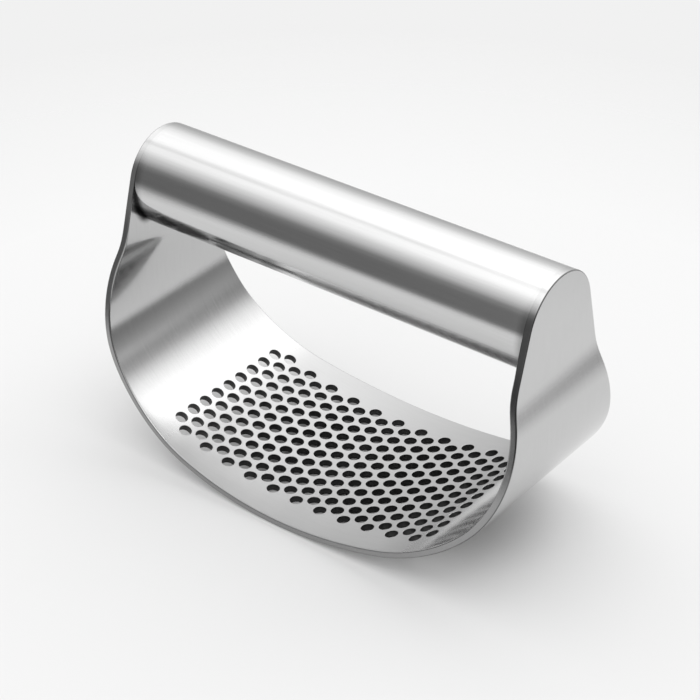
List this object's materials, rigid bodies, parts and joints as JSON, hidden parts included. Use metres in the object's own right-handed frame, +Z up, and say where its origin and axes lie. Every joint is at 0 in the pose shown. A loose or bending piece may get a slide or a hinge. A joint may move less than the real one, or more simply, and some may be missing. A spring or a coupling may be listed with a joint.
{
  "type": "garlic press",
  "caption": "Rocker garlic press: a perforated steel sheet bent into a cradle, with a round tube handle between its upright ends.",
  "frame": {"origin": "under the middle of the rocker, on the surface that the part stands on", "axes": "+X along the handle, +Y across the sheet from front to back, +Z up"},
  "size_m": [0.121, 0.06, 0.0764],
  "materials": {
    "sheet_steel": "satin polished stainless sheet",
    "tube_steel": "brushed and polished stainless tube",
    "weld_steel": "ground weld"
  },
  "bodies": {
    "root": {"rocker_plate": "sheet_steel", "handle_tube": "tube_steel", "left_weld": "weld_steel", "right_weld": "weld_steel"}
  },
  "joints": []
}
